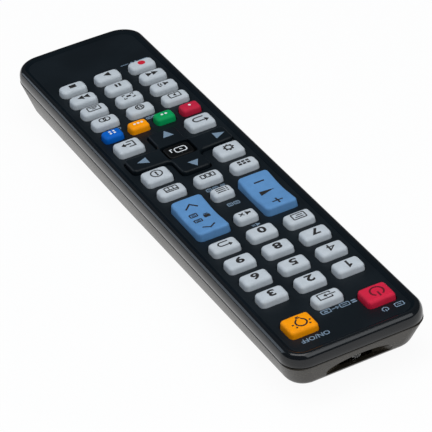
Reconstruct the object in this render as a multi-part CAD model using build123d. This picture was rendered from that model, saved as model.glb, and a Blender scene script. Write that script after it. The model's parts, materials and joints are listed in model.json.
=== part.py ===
from build123d import *
from math import atan2, cos, degrees, radians, sin, tan
import os

os.makedirs("parts", exist_ok=True)

# Universal remote control, lying on its back.
# Millimetres. +Y points to the infrared end, +X to the user's right, +Z up out of the key face.
# The origin is on the resting plane, under the middle of the case.

# Case, outside
body_length = 217.0
body_width = 50.0
nose_corner = 7.8            # corner radii of the joint line, seen from above
tail_corner = 9.5
tail_bow = 0.5               # the tail edge bulges this far at its middle
upper_wall_height = 4.2      # joint line up to the key face
upper_lean = 0.45            # how far the upper wall leans in over its height
rim_rise = 0.7               # rim above the key face
rim_bevel = 1.1
rim_land = 1.4               # flat of the rim, in from the outside
dish_side = 3.6              # key face edge, in from the side
dish_end = 4.4               # key face edge, in from the ends
side_lean = 16.0             # degrees, lower case
front_lean = 25.0
tail_lean = 12.0
bottom_round = 5.2
nose_rise = 4.3              # the underside curves up this far at the infrared end
nose_run = 130.0
case_wall = 1.8
face_thickness = 1.8
joint_groove = 0.25
lip_thickness = 0.9
lip_depth = 1.5
lip_gap = 0.15

# Battery bay and its cover
cell_diameter = 10.5
cell_length = 44.5
cell_gap = 0.6
cell_clearance = 0.3
cell_nub_diameter = 3.8
cell_nub_height = 0.8
spring_space = 4.5
plate_space = 1.5
tail_space = 17.5            # case end to the bay
bay_wall = 1.0
roof_clearance = 0.2
roof_thickness = 0.8
cover_thickness = 1.6
cover_overhang = 1.5
slide_gap = 0.25
rail_gap = 0.3
rail_web = 0.6
rail_reach = 1.2
rail_thickness = 1.0
rail_lift = 0.2
tongue_width = 3.6
tongue_reach = 2.5
tongue_root = 1.2
tongue_thickness = 0.8
end_block_length = 3.0
grip_width = 14.0
grip_step = 2.4
grip_groove = 1.1
grip_depth = 0.5
grip_count = 5
grip_from_front = 6.0

# Contacts
contact_thickness = 0.4
contact_width = 8.5
contact_height = 8.5
contact_gap = 0.1
leaf_width = 4.5
leaf_nose = 1.2

# Board and keypad
board_gap = 0.1
board_thickness = 1.2
board_inset = 3.4            # board edge, in from the outside of the case
mat_thickness = 0.8
mat_inset = 3.2
mat_margin = 2.2             # mat past the first and last key skirts
board_margin = 5.0           # board past the last key skirt
key_travel = 0.9
press_gap = 0.05
skirt_height = 1.7
skirt_gap = 0.1
skirt_reach = 0.6
skirt_clearance = 0.3
key_gap = 0.3                # key to the edge of its hole
hole_corner_share = 0.7      # corner cut of a hole, as a share of the key's corner radius

# Keys: width across, depth along, corner radius
number_key = (9.6, 6.4, 1.15)
function_key = (9.6, 5.9, 1.6)
source_key = (10.0, 5.9, 1.6)
power_key = (9.8, 8.6, 1.15)
small_key = (7.5, 5.5, 1.15)
corner_key = (9.6, 7.7, 1.15)
colour_key = (7.1, 5.4, 1.15)
key_stand = 2.3              # foot of the bevel above the face
key_crown = 0.7              # bevel round the top
key_draft = 0.25
key_bevel = 45.0             # degrees
key_corner_share = 0.7       # corner cut of a cap, as a share of its corner radius

# Rockers
rocker_width = 11.7
rocker_depth = 22.5
rocker_radius = 2.2
rocker_stand = 3.4
rocker_dip = 0.8
rocker_draft = 0.5
rocker_clearance = 0.8       # rocker foot above the mat
rocker_tab = 4.4
rocker_tab_gap = 0.25
rocker_tab_thickness = 0.7
pivot_width = 6.0
pivot_thickness = 1.2
pivot_gap = 0.05
plunger_size = 3.0
rocker_plunger_offset = 8.0
rocker_drop = 0.6            # stroke of a rocker plunger

# Four-way pad
pad_reach_x = 18.5
pad_reach_y = 14.3
pad_arm_x = 8.7              # depth of the arms that run across
pad_arm_y = 10.6             # width of the arms that run along
pad_inner_radius = 2.4
pad_outer_radius = 1.4
pad_stand = 1.7
pad_dip = 0.5
pad_gap = 0.5
pad_lift = 1.1               # underside of the arms above the mat
pad_plate_x = 14.0
pad_plate_y = 12.4
pad_plate_low = 0.65
pad_plate_thickness = 0.6
pad_plunger_x = 14.0
pad_plunger_y = 10.5
pad_drop = 0.65
enter_key = (8.4, 6.4, 1.15)
enter_opening_gap = 0.7
enter_pocket_gap = 0.3
enter_reach = 0.5
enter_skirt_thickness = 0.8
enter_lift = 0.5
enter_stand = 1.2
enter_plunger = (4.0, 3.0)
boot_wall = 1.9
boot_clearance = 0.5         # boot in from the pad's plate
boot_lift = 0.3
boot_height = 0.75
boot_mat_gap = 0.8

# Places of the keys: columns out from the middle as shares of the case's width, rows
# back from the infrared end as shares of its length
column_share = 0.276
rocker_column_share = 0.252
colour_step_share = 0.202
row_names = ("power", "source", "numbers", "zero", "mute", "rocker", "list", "menu",
             "tools", "pad", "return", "colour", "media", "play")
row_shares = (0.0682, 0.1018, 0.1521, 0.3021, 0.3546, 0.3942, 0.4329, 0.4818,
              0.5339, 0.5846, 0.6362, 0.6846, 0.727, 0.8528)

# Infrared end
led_diameter = 5.0
led_flange_diameter = 5.8
led_flange_thickness = 1.0
led_body_length = 5.2
led_height = 9.4
led_to_front = 4.0           # tip of the dome, in from the case end
led_dome_step = 25.0         # degrees between the rings of the dome
led_dome_steps = 3
led_lead = 0.5
led_lead_step = 2.54
led_lead_reach = 3.0
scoop_floor = 6.9
scoop_width = 23.5           # mouth of the scoop, on the leaning front wall
scoop_height = 5.3
scoop_depth = 1.9            # front wall to the window, along the floor
window_width = 12.0
window_height = 5.0

# Parts under the board
chip_size = (7.6, 12.8, 1.8)
chip_pin = (0.6, 0.9, 0.3)
chip_pin_step = 2.54
chip_pins = 5
chip_from_end = 62.0
resonator_size = (6.0, 2.4, 4.4)
resonator_from_end = 48.0
resonator_x = -9.0
capacitor_diameter = 5.0
capacitor_length = 8.0
capacitor_from_end = 46.0
capacitor_x = 9.0
post_size = 3.0
post_x = 18.6
post_from_end = (16.0, 62.0)

# Case screws, under the battery cover
screw_x = 8.0
screw_from_tail = 10.4
screw_diameter = 2.2
screw_hole_gap = 0.2
screw_pilot_gap = 0.05
screw_length = 10.0
screw_head_diameter = 4.4
screw_head_height = 1.6
screw_head_gap = 0.2
screw_sink = 1.8
screw_slot = 0.8
screw_slot_depth = 0.6
boss_diameter = 6.4
boss_split = 9.0
boss_gap = 0.1
pilot_depth = 6.0

overrun = 10.0               # how far a cut runs past what it cuts
touch = 0.01                 # tolerance when edges are picked


# Heights worked out from the stack, from the resting plane up
half_length = body_length / 2
half_width = body_width / 2
cell_low = cover_thickness + cell_clearance
cell_axis = cell_low + cell_diameter / 2
roof_under = cell_low + cell_diameter + roof_clearance
roof_top = roof_under + roof_thickness
board_low = roof_top + board_gap
board_top = board_low + board_thickness
mat_top = board_top + mat_thickness
skirt_low = board_top + key_travel + press_gap
skirt_top = skirt_low + skirt_height
face_under = skirt_top + skirt_gap
face = face_under + face_thickness
rim_top = face + rim_rise
joint = face - upper_wall_height

# Places across and along the case
column = body_width * column_share
rocker_x = body_width * rocker_column_share
colour_step = body_width * colour_step_share
rows = {name: half_length - body_length * share
        for name, share in zip(row_names, row_shares)}
rocker_y = rows["rocker"]
pad_y = rows["pad"]

bay_rear = tail_space - half_length
bay_length = cell_length + spring_space + plate_space
bay_front = bay_rear + bay_length
bay_half = cell_diameter + cell_gap / 2 + cell_clearance
cell_x = (cell_diameter + cell_gap) / 2

cover_half = bay_half + bay_wall + rail_gap + rail_web
cover_front = bay_front + cover_overhang
rail_low = case_wall + rail_lift
rail_top = rail_low + rail_thickness
deck = rail_top + slide_gap
channel_half = cover_half + rail_reach + slide_gap
channel_front = cover_front + tongue_reach + slide_gap

pivot_low = mat_top + pivot_gap
pad_plate_bottom = mat_top + pad_plate_low
enter_skirt_top = skirt_low + skirt_height + enter_skirt_thickness / 2
enter_skirt_low = enter_skirt_top - enter_skirt_thickness

keys = {
    "key_power": (-column, rows["power"], power_key),
    "key_light": (column, rows["power"], power_key),
    "key_source": (0, rows["source"], source_key),
    "key_text": (-column, rows["zero"], number_key),
    "key_0": (0, rows["zero"], number_key),
    "key_previous": (column, rows["zero"], number_key),
    "key_mute": (0, rows["mute"], small_key),
    "key_channel_list": (0, rows["list"], small_key),
    "key_content": (-column, rows["menu"], function_key),
    "key_menu": (0, rows["menu"], function_key),
    "key_guide": (column, rows["menu"], function_key),
    "key_tools": (-column, rows["tools"], corner_key),
    "key_info": (column, rows["tools"], corner_key),
    "key_return": (-column, rows["return"], corner_key),
    "key_exit": (column, rows["return"], corner_key),
}
for number in range(9):
    down = rows["numbers"] + (rows["zero"] - rows["numbers"]) * (number // 3) / 3
    keys[f"key_{number + 1}"] = ((number % 3 - 1) * column, down, number_key)
colours = ("red", "green", "amber", "blue")
for place, colour in enumerate(colours):
    offset = (place - (len(colours) - 1) / 2) * colour_step
    keys[f"key_{colour}"] = (offset, rows["colour"], colour_key)
media_rows = (
    ("media", "web", "dual"),
    ("audio", "size", "caption"),
    ("rewind", "pause", "forward"),
    ("record", "play", "stop"),
)
for row, names in enumerate(media_rows):
    down = rows["media"] + (rows["play"] - rows["media"]) * row / (len(media_rows) - 1)
    for place, name in enumerate(names):
        keys[f"key_{name}"] = ((place - 1) * column, down, function_key)
rockers = {"rocker_volume": -rocker_x, "rocker_programme": rocker_x}


def block(width, depth, low, high, x=0, y=0):
    """Rectangular block between two heights, centred on x and y."""
    return Pos(x, y, (low + high) / 2) * Box(width, depth, high - low)


def span(width, y_low, y_high, low, high, x=0):
    """Rectangular block given by where it starts and ends along the case."""
    return block(width, y_high - y_low, low, high, x, (y_low + y_high) / 2)


def case_outline(height, side, end):
    """Outline of the case at one height, drawn in from the sides and from the ends,
    with its tail edge bowed."""
    x = half_width - side
    nose_y = half_length - end
    tail_y = end + tail_bow - half_length
    outline = make_face(
        [
            Polyline((x, tail_y), (x, nose_y), (-x, nose_y), (-x, tail_y)),
            ThreePointArc((-x, tail_y), (0, tail_y - tail_bow), (x, tail_y)),
        ]
    )
    tail_points = [v for v in outline.vertices() if v.Y < 0]
    outline = fillet(tail_points, tail_corner - side)
    nose_points = [v for v in outline.vertices() if v.Y > nose_y - touch]
    return Pos(0, 0, height) * fillet(nose_points, nose_corner - side)


def case_prism(low, high, inset, lean=0.0):
    """Prism of the case outline that draws in by lean at its top."""
    taper = degrees(atan2(lean, high - low))
    return extrude(case_outline(low, inset, inset), high - low, taper=taper)


def lower_form(inset):
    """Boat shape of the lower case, drawn in by inset: leaning walls, round corners
    and bottom edges, and an underside that rises towards the infrared end."""
    x = half_width - inset
    y = half_length - inset
    drop = joint - inset
    foot_x = x - drop * tan(radians(side_lean))
    nose_foot = y - (drop - nose_rise) * tan(radians(front_lean))
    tail_foot = drop * tan(radians(tail_lean)) - y
    rise_start = half_length - nose_run
    across = Polyline((-x, joint), (x, joint), (foot_x, inset), (-foot_x, inset), close=True)
    along = Polyline(
        (-y, joint), (y, joint), (nose_foot, inset + nose_rise), (rise_start, inset),
        (tail_foot, inset), close=True,
    )
    form = extrude(Plane.XZ * make_face(across), amount=body_length, both=True)
    form &= extrude(Plane.YZ * make_face(along), amount=body_width, both=True)

    def is_corner(edge):
        start, end = edge @ 0, edge @ 1
        return abs(start.Z - end.Z) > drop / 2 and abs(start.X - end.X) > touch

    nose_edges = [e for e in form.edges() if is_corner(e) and (e @ 0.5).Y > 0]
    form = fillet(nose_edges, nose_corner - inset)
    tail_edges = [e for e in form.edges() if is_corner(e) and (e @ 0.5).Y < 0]
    form = fillet(tail_edges, tail_corner - inset)

    def on_underside(edge):
        point = edge @ 0.5
        if abs(point.X) < touch and abs(point.Y - rise_start) < touch:
            return False
        climb = max(point.Y - rise_start, 0) / (nose_foot - rise_start)
        return abs(point.Z - inset - nose_rise * climb) < touch

    return fillet([e for e in form.edges() if on_underside(e)], bottom_round - inset)


def key_hole(width, depth, radius, gap):
    """Outline of a key's hole in the face: a rectangle with its corners cut."""
    outline = Rectangle(width + 2 * gap, depth + 2 * gap)
    return chamfer(outline.vertices(), (radius + gap) * hole_corner_share)


def pad_outline(gap=0.0):
    """Cross of the four-way pad, grown by gap."""
    across = Rectangle(2 * (pad_reach_x + gap), pad_arm_x + 2 * gap)
    along = Rectangle(pad_arm_y + 2 * gap, 2 * (pad_reach_y + gap))
    cross = across + along
    inner = [v for v in cross.vertices() if abs(v.X) < pad_arm_y and abs(v.Y) < pad_arm_x]
    outer = [v for v in cross.vertices() if v not in inner]
    cross = fillet(outer, pad_outer_radius + gap)
    inner = [v for v in cross.vertices()
             if abs(abs(v.X) - pad_arm_y / 2 - gap) < touch
             and abs(abs(v.Y) - pad_arm_x / 2 - gap) < touch]
    return fillet(inner, pad_inner_radius - gap)


def drafted(width, depth, height, radius, draft):
    """Block on the XY plane whose sides lean in by draft and whose corners are round."""
    taper = degrees(atan2(draft, height))
    body = extrude(Rectangle(width, depth), height, taper=taper)
    corners = [e for e in body.edges() if touch < (e @ 0.5).Z < height - touch]
    return fillet(corners, radius)


def make_key(x, y, size):
    """Key cap with cut corners, leaning sides and a bevelled crown, on a square skirt
    that keeps it in."""
    width, depth, radius = size
    foot = chamfer(Rectangle(width, depth).vertices(), radius * key_corner_share)
    shoulder = face + key_stand - skirt_top
    cap = extrude(foot, shoulder, taper=degrees(atan2(key_draft, shoulder)))
    top = [f for f in cap.faces() if f.center().Z > shoulder - touch]
    cap += extrude(top, key_crown, taper=key_bevel)
    cap += block(width + 2 * skirt_reach, depth + 2 * skirt_reach, -skirt_height, 0)
    return Pos(x, y, skirt_top) * cap


def make_rocker(x):
    """Two-way key with a hollow along its length, tabs at the middle, a rib that
    it tips on and a plunger under each end."""
    foot = mat_top + rocker_clearance
    top = face + rocker_stand
    body = Pos(x, rocker_y, foot) * drafted(
        rocker_width, rocker_depth, top - foot, rocker_radius, rocker_draft
    )
    hollow = ((rocker_depth / 2) ** 2 + rocker_dip**2) / (2 * rocker_dip)
    body -= (
        Pos(x, rocker_y, top - rocker_dip + hollow)
        * Rot(0, 90, 0)
        * Cylinder(hollow, rocker_width + overrun)
    )
    tab_top = face_under - rocker_tab_gap
    body += block(rocker_width + 2 * skirt_reach, rocker_tab,
                  tab_top - rocker_tab_thickness, tab_top, x, rocker_y)
    body += block(pivot_width, pivot_thickness, pivot_low, foot, x, rocker_y)
    plunger_low = board_top + press_gap + rocker_drop
    for side in (-1, 1):
        body += block(plunger_size, plunger_size, plunger_low, foot,
                      x, rocker_y + side * rocker_plunger_offset)
    return body


def make_pad():
    """Cross-shaped pad with a hollow top, a pocket for the enter key, a plate that
    keeps it under the face and a plunger under each arm."""
    foot = mat_top + pad_lift
    top = face + pad_stand
    body = Pos(0, pad_y, foot) * extrude(pad_outline(), top - foot)
    dish = (pad_reach_x**2 + pad_dip**2) / (2 * pad_dip)
    hollow = Pos(0, pad_y, top - pad_dip + dish) * (
        Rot(0, 90, 0) * Cylinder(dish, 2 * body_width)
        & Rot(90, 0, 0) * Cylinder(dish, 2 * body_width)
    )
    body -= hollow
    body += block(pad_plate_x, pad_plate_y, pad_plate_bottom,
                  pad_plate_bottom + pad_plate_thickness, 0, pad_y)
    body += block(pad_plate_x, pad_plate_y - 2 * pad_outer_radius,
                  pad_plate_bottom, foot + touch, 0, pad_y)
    width, depth, radius = enter_key
    opening = Rectangle(width + 2 * enter_opening_gap, depth + 2 * enter_opening_gap)
    body -= Pos(0, pad_y, foot) * extrude(opening, top - foot + overrun)
    pocket_x = width + 2 * (enter_reach + enter_pocket_gap)
    pocket_y = depth + 2 * (enter_reach + enter_pocket_gap)
    body -= block(pocket_x, pocket_y, pad_plate_bottom - overrun,
                  enter_skirt_top + enter_lift, 0, pad_y)
    plunger_low = board_top + press_gap + pad_drop
    for side in (-1, 1):
        body += block(plunger_size, plunger_size, plunger_low, foot, side * pad_plunger_x, pad_y)
        body += block(plunger_size, plunger_size, plunger_low, foot,
                      0, pad_y + side * pad_plunger_y)
    return body


def make_enter():
    """Enter key inside the pad, with its skirt under the pad's edge and a plunger."""
    width, depth, radius = enter_key
    body = Pos(0, pad_y, enter_skirt_low) * extrude(
        RectangleRounded(width, depth, radius), face + enter_stand - enter_skirt_low
    )
    body += block(width + 2 * enter_reach, depth + 2 * enter_reach,
                  enter_skirt_low, enter_skirt_top, 0, pad_y)
    return body + block(*enter_plunger, skirt_low, enter_skirt_low, 0, pad_y)


def make_boot():
    """Square ring of silicone that the pad tips on."""
    width = pad_plate_x - 2 * boot_clearance
    depth = pad_plate_y - 2 * boot_clearance
    low = board_top + boot_lift
    ring = block(width, depth, low, low + boot_height, 0, pad_y)
    return ring - block(width - 2 * boot_wall, depth - 2 * boot_wall,
                        low - overrun, low + boot_height + overrun, 0, pad_y)


def key_openings():
    """Every hole that the face needs for the keys, as one list of cutters."""
    depth = face_thickness + 2 * overrun
    low = face_under - overrun
    cutters = []
    for x, y, size in keys.values():
        cutters.append(Pos(x, y, low) * extrude(key_hole(*size, key_gap), depth))
    for x in rockers.values():
        hole = key_hole(rocker_width, rocker_depth, rocker_radius, key_gap)
        cutters.append(Pos(x, rocker_y, low) * extrude(hole, depth))
    cutters.append(Pos(0, pad_y, low) * extrude(pad_outline(pad_gap), depth))
    return cutters


def make_upper_case():
    """Upper shell: key face dished inside a round rim, with a lip that drops into
    the lower case and two screw bosses."""
    body = case_prism(joint, rim_top, 0, upper_lean)
    body = chamfer([e for e in body.edges() if (e @ 0.5).Z > rim_top - touch], rim_bevel)
    body &= case_prism(joint, rim_top, joint_groove, joint - rim_top)
    spread = degrees(atan2(dish_side - rim_land - upper_lean, rim_rise))
    body -= extrude(case_outline(face, dish_side, dish_end), overrun, taper=-spread)
    body -= case_prism(joint, face_under, case_wall)
    lip_inset = case_wall + lip_gap
    lip = case_prism(joint - lip_depth, joint + lip_depth, lip_inset)
    lip -= case_prism(joint - lip_depth, joint + lip_depth, lip_inset + lip_thickness)
    shelf = case_prism(joint, joint + lip_depth, case_wall)
    shelf -= case_prism(joint, joint + lip_depth, lip_inset)
    body += [lip, shelf]
    body -= key_openings()
    for side in (-1, 1):
        spot = (side * screw_x, screw_from_tail - half_length)
        boss_low = boss_split + boss_gap
        body += Pos(*spot, boss_low) * extrude(Circle(boss_diameter / 2), face_under - boss_low)
        pilot = Circle(screw_diameter / 2 + screw_pilot_gap)
        body -= Pos(*spot, boss_low) * extrude(pilot, pilot_depth)
    return body


def arch(width, height, y, low):
    """Face of an arch: a flat floor of this width under an arc of this height."""
    left, right = (-width / 2, low), (width / 2, low)
    outline = [Line(right, left), ThreePointArc(left, (0, low + height), right)]
    return Plane.XZ.offset(-y) * make_face(outline)


def make_lower_case():
    """Lower shell with the battery bay, the channel for the sliding cover, the scoop
    in front of the LED, posts under the board and two screw bosses."""
    outside = lower_form(0)
    body = outside - lower_form(case_wall)
    body &= case_prism(0, joint, joint_groove - joint, joint)
    body -= case_prism(joint - lip_depth - lip_gap, joint + overrun, case_wall)

    tunnel = span(2 * (channel_half + bay_wall), -half_length - overrun,
                  channel_front + bay_wall, 0, deck + bay_wall)
    bay = span(2 * (bay_half + bay_wall), bay_rear - bay_wall, bay_front + bay_wall,
               deck, roof_top)
    slope = tan(radians(front_lean))
    sill_y = half_length - (joint - scoop_floor) * slope
    crown_y = sill_y + scoop_height * slope
    window_y = sill_y - scoop_depth
    hood = span(scoop_width, window_y, half_length, case_wall, joint - lip_depth - slide_gap)
    body += [(tunnel + bay + hood) & outside]

    for side in (-1, 1):
        for from_end in post_from_end:
            post = block(post_size, post_size, case_wall, roof_top,
                         side * post_x, half_length - from_end)
            body += post & outside
        spot = (side * screw_x, screw_from_tail - half_length)
        body += Pos(*spot, deck) * extrude(Circle(boss_diameter / 2), boss_split - deck)

    tail = -half_length - overrun
    body -= span(2 * (cover_half + slide_gap), tail, cover_front + slide_gap,
                 -overrun, case_wall + touch)
    body -= span(2 * channel_half, tail, channel_front, case_wall, deck)
    body -= span(2 * bay_half, bay_rear, bay_front, -overrun, roof_under)
    for side in (-1, 1):
        spot = (side * screw_x, screw_from_tail - half_length)
        clear = Circle(screw_diameter / 2 + screw_hole_gap)
        body -= Pos(*spot, 0) * extrude(clear, boss_split + overrun)
        sink = Circle(screw_head_diameter / 2 + screw_head_gap)
        body -= Pos(*spot, 0) * extrude(sink, deck + screw_sink)

    reach = half_length - window_y
    flare = (scoop_width - window_width) / scoop_depth
    climb = (scoop_height - window_height) / (crown_y - window_y)
    inner = arch(window_width, window_height, window_y, scoop_floor)
    outer = arch(window_width + flare * reach, window_height + climb * reach, half_length,
                 scoop_floor)
    funnel = loft([inner, outer], ruled=True)
    window = extrude(inner, amount=case_wall)
    return body - [funnel, window]


def make_battery_cover():
    """Sliding cover flush with the underside: a plate with a rail along each side, a
    block that closes the tail, a tongue at the front and a ribbed thumb grip."""
    tail = -half_length - overrun
    body = span(2 * cover_half, tail, cover_front, 0, cover_thickness)
    web_x = cover_half - rail_web / 2
    flange_x = cover_half - rail_web + (rail_web + rail_reach) / 2
    for side in (-1, 1):
        body += span(rail_web, tail, cover_front, cover_thickness, rail_top, side * web_x)
        body += span(rail_web + rail_reach, tail, cover_front, rail_low, rail_top,
                     side * flange_x)
    lean = radians(tail_lean)
    floor_start = (joint - bottom_round) * tan(lean) + bottom_round / cos(lean)
    block_end = floor_start + end_block_length - half_length
    body += span(2 * (cover_half + rail_reach), tail, block_end, rail_low, rail_top)
    body += span(2 * cover_half, tail, block_end, cover_thickness, rail_low)
    tongue_top = rail_low + tongue_thickness
    body += span(tongue_width, cover_front - tongue_root, cover_front, cover_thickness,
                 tongue_top)
    body += span(tongue_width, cover_front, cover_front + tongue_reach, rail_low, tongue_top)
    for groove in range(grip_count):
        y = cover_front - grip_from_front - groove * grip_step
        body -= block(grip_width, grip_groove, -overrun, grip_depth, 0, y)
    return body & lower_form(0)


def make_board():
    """Circuit board from the infrared end back past the last row of keys."""
    front = half_length - board_inset
    rear = rows["play"] - function_key[1] / 2 - board_margin
    outline = RectangleRounded(
        body_width - 2 * board_inset, front - rear, nose_corner - board_inset
    )
    return Pos(0, (front + rear) / 2, board_low) * extrude(outline, board_thickness)


def make_mat():
    """Silicone sheet on the board, with a hole for each key, rocker foot, pad plunger
    and the boot."""
    front = rows["power"] + power_key[1] / 2 + skirt_reach + mat_margin
    rear = rows["play"] - function_key[1] / 2 - skirt_reach - mat_margin
    body = span(body_width - 2 * mat_inset, rear, front, board_top, mat_top)
    grow = 2 * (skirt_reach + skirt_clearance)
    holes = []
    for x, y, size in keys.values():
        holes.append((x, y, size[0] + grow, size[1] + grow))
    peg = plunger_size + 2 * skirt_clearance
    for x in rockers.values():
        holes.append((x, rocker_y + rocker_plunger_offset, peg, peg))
        holes.append((x, rocker_y - rocker_plunger_offset, peg, peg))
    for side in (-1, 1):
        holes.append((side * pad_plunger_x, pad_y, peg, peg))
        holes.append((0, pad_y + side * pad_plunger_y, peg, peg))
    boot_x = pad_plate_x - 2 * boot_clearance + boot_mat_gap
    boot_y = pad_plate_y - 2 * boot_clearance + boot_mat_gap
    holes.append((0, pad_y, boot_x, boot_y))
    return body - [
        block(width, depth, board_top - overrun, mat_top + overrun, x, y)
        for x, y, width, depth in holes
    ]


def make_led():
    """Clear LED lying along the case, its dome towards the scoop, with two leads bent
    up to the board."""
    tip = half_length - led_to_front
    radius = led_diameter / 2
    dome = tip - radius
    back = dome - led_body_length
    flange_back = back - led_flange_thickness
    steps = [radians(quarter * led_dome_step) for quarter in range(led_dome_steps + 1)]
    curve = [(radius * cos(a), dome + radius * sin(a)) for a in steps]
    profile = make_face(
        Polyline(
            (0, curve[-1][1]), (0, flange_back), (led_flange_diameter / 2, flange_back),
            (led_flange_diameter / 2, back), (radius, back), *curve, close=True,
        )
    )
    body = Pos(0, 0, led_height) * revolve(Plane.XY * profile, Axis.Y)
    for side in (-1, 1):
        x = side * led_lead_step / 2
        body += span(led_lead, flange_back - led_lead_reach, flange_back,
                     led_height - led_lead / 2, led_height + led_lead / 2, x)
        body += span(led_lead, flange_back - led_lead_reach, flange_back - led_lead_reach
                     + led_lead, led_height - led_lead / 2, board_low, x)
    return body


def make_chip():
    """Control chip under the board with a row of flat pins along each side."""
    width, depth, height = chip_size
    y = half_length - chip_from_end
    body = block(width, depth, board_low - height, board_low, 0, y)
    pin_width, pin_reach, pin_thickness = chip_pin
    for pin in range(chip_pins):
        pin_y = y + (pin - (chip_pins - 1) / 2) * chip_pin_step
        body += block(width + 2 * pin_reach, pin_width, board_low - pin_thickness, board_low,
                      0, pin_y)
    return body


def make_resonator():
    """Ceramic resonator under the board."""
    width, depth, height = resonator_size
    return block(width, depth, board_low - height, board_low,
                 resonator_x, half_length - resonator_from_end)


def make_capacitor():
    """Round capacitor standing down from the board."""
    can = Circle(capacitor_diameter / 2)
    spot = (capacitor_x, half_length - capacitor_from_end, board_low - capacitor_length)
    return Pos(*spot) * extrude(can, capacitor_length)


def make_cell(side):
    """One cell with its nub. The right one points forward, the left one back."""
    start = bay_rear + (spring_space if side > 0 else plate_space)
    length = cell_length - cell_nub_height
    radius = cell_diameter / 2
    can = Cylinder(radius, length)
    nub = Pos(0, 0, (length + cell_nub_height) / 2) * Cylinder(
        cell_nub_diameter / 2, cell_nub_height
    )
    turn = Rot(-90, 0, 0) if side > 0 else Rot(90, 0, 0)
    middle = start + cell_length / 2 - side * cell_nub_height / 2
    return Pos(side * cell_x, middle, cell_axis) * turn * (can + nub)


def make_spring_contacts():
    """Two bent leaves that press on the flat ends of the cells."""
    solids = []
    for side in (-1, 1):
        wall = bay_rear if side > 0 else bay_front
        out = side * contact_thickness
        reach = side * (spring_space - contact_gap)
        low = cell_axis - contact_height / 2
        high = cell_axis + contact_height / 2
        nose = cell_axis
        leaf = make_face(
            Polyline(
                (wall, low), (wall, high), (wall + out, high),
                (wall + out, low + leaf_nose + contact_thickness),
                (wall + reach, nose + leaf_nose), (wall + reach, nose),
                (wall + out, low), (wall, low), close=True,
            )
        )
        solids.append(
            extrude(Plane.YZ.offset(side * cell_x) * leaf, amount=leaf_width / 2, both=True)
        )
    return solids


def make_plate_contacts():
    """Two flat plates that meet the nubs of the cells."""
    solids = []
    for side in (-1, 1):
        wall = bay_front if side > 0 else bay_rear
        inner = wall - side * contact_thickness
        low = cell_axis - contact_height / 2
        solids.append(
            span(contact_width, min(wall, inner), max(wall, inner), low,
                 low + contact_height, side * cell_x)
        )
    return solids


def make_screws():
    """Two case screws with slotted heads, sunk in the lower case's bosses."""
    solids = []
    seat = deck + screw_sink
    for side in (-1, 1):
        spot = (side * screw_x, screw_from_tail - half_length)
        head = Pos(*spot, seat - screw_head_height) * extrude(
            Circle(screw_head_diameter / 2), screw_head_height
        )
        head -= block(screw_head_diameter, screw_slot, seat - screw_head_height - touch,
                      seat - screw_head_height + screw_slot_depth, *spot)
        shank = Pos(*spot, seat) * extrude(Circle(screw_diameter / 2), screw_length)
        solids.append(head + shank)
    return solids


def write(name, shape):
    """Write one node, which may hold several separate solids."""
    solids = shape if isinstance(shape, list) else shape.solids()
    export_step(Compound(children=list(solids)) if len(solids) > 1 else solids[0],
                f"parts/{name}.step")


for name, (x, y, size) in keys.items():
    write(name, make_key(x, y, size))
for name, x in rockers.items():
    write(name, make_rocker(x))
write("four_way_pad", make_pad())
write("key_enter", make_enter())
write("pad_boot", make_boot())
write("upper_case", make_upper_case())
write("lower_case", make_lower_case())
write("battery_cover", make_battery_cover())
write("circuit_board", make_board())
write("keypad_mat", make_mat())
write("infrared_led", make_led())
write("control_chip", make_chip())
write("resonator", make_resonator())
write("capacitor", make_capacitor())
write("cell_left", make_cell(-1))
write("cell_right", make_cell(1))
write("spring_contacts", make_spring_contacts())
write("plate_contacts", make_plate_contacts())
write("case_screws", make_screws())
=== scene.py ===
import json
import math
import bpy
import numpy as np
from mathutils import Matrix, Vector

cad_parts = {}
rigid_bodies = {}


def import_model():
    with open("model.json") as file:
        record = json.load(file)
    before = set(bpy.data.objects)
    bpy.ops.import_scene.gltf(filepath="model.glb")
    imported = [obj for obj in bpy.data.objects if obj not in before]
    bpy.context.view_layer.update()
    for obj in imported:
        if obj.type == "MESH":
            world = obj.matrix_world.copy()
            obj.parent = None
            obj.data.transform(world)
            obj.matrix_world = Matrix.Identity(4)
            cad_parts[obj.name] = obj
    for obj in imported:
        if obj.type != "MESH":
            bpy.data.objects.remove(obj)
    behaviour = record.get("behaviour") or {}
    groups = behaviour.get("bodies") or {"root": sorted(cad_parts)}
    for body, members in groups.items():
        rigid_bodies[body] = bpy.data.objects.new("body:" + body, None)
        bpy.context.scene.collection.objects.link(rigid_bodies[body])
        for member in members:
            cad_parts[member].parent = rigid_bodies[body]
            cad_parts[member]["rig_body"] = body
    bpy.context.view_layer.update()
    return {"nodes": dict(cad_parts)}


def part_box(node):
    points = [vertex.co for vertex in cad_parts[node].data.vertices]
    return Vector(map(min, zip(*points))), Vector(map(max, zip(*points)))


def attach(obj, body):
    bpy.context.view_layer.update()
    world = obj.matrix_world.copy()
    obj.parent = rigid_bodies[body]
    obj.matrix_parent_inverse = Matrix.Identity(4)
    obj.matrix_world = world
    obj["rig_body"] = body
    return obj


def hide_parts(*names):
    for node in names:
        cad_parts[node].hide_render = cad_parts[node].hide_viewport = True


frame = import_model()
nodes = frame["nodes"]
mm = 0.001  # lengths below are in millimetres and become metres in the meshes


# Camera, with the place, direction and focal length that were fitted to the photograph
cameraView = {
    "place": (283.30, 667.13, 494.55),
    "right": (-0.8857975, 0.45341344, -0.09888906),
    "up": (-0.32992652, -0.46542725, 0.8212953),
    "lens": 213.02,
    "sensor": 36.0,
    "shift": 0.5 / 432,  # the optical axis lies half a pixel right of and below the middle
    "clip": (0.05, 20.0),  # in metres
}


def addObject(name, data):
    added = bpy.data.objects.new(name, data)
    bpy.context.scene.collection.objects.link(added)
    return added


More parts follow.
